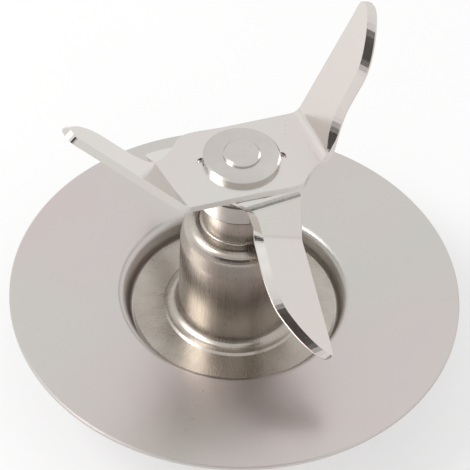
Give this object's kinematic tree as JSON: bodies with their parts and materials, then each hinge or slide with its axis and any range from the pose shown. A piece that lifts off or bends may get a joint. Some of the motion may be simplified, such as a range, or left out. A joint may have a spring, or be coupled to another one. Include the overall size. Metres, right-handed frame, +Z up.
{
  "type": "blender blade assembly",
  "caption": "Steel blender blade assembly: a round seat disc with a drawn bearing housing, and four bent arms with ground edges on a shaft",
  "frame": {"origin": "middle of the upper face of the seat disc, on the shaft's axis", "axes": "+Z up along the shaft, out of the seat face toward the blades; +Y away from the picture's camera, +X to its right"},
  "size_m": [0.07, 0.07, 0.0681],
  "materials": {
    "disc_steel": "satin rolled sheet",
    "housing_steel": "deep drawn, satin",
    "blade_steel": "polished sheet with ground edges",
    "shaft_steel": "turned",
    "coupling_steel": "sintered",
    "bronze": "sintered bronze",
    "seal_rubber": "moulded rubber",
    "washer_plastic": "plain nylon"
  },
  "bodies": {
    "housing": {"base_disc": "disc_steel", "bearing_housing": "housing_steel", "lower_bush": "bronze", "upper_bush": "bronze", "shaft_seal": "seal_rubber"},
    "rotor": {"lower_thrust_washer": "washer_plastic", "upper_thrust_washer": "washer_plastic", "drive_shaft": "shaft_steel", "drive_coupling": "coupling_steel", "blade_collar": "shaft_steel", "spacer_washer": "shaft_steel", "lower_blade": "blade_steel", "upper_blade": "blade_steel", "cap_washer": "shaft_steel"}
  },
  "joints": [
    {"name": "blade_spin", "type": "hinge", "parent": "housing", "child": "rotor", "pos_m": [0, 0, 0.02], "axis": [0, 0, 1], "continuous": true}
  ]
}
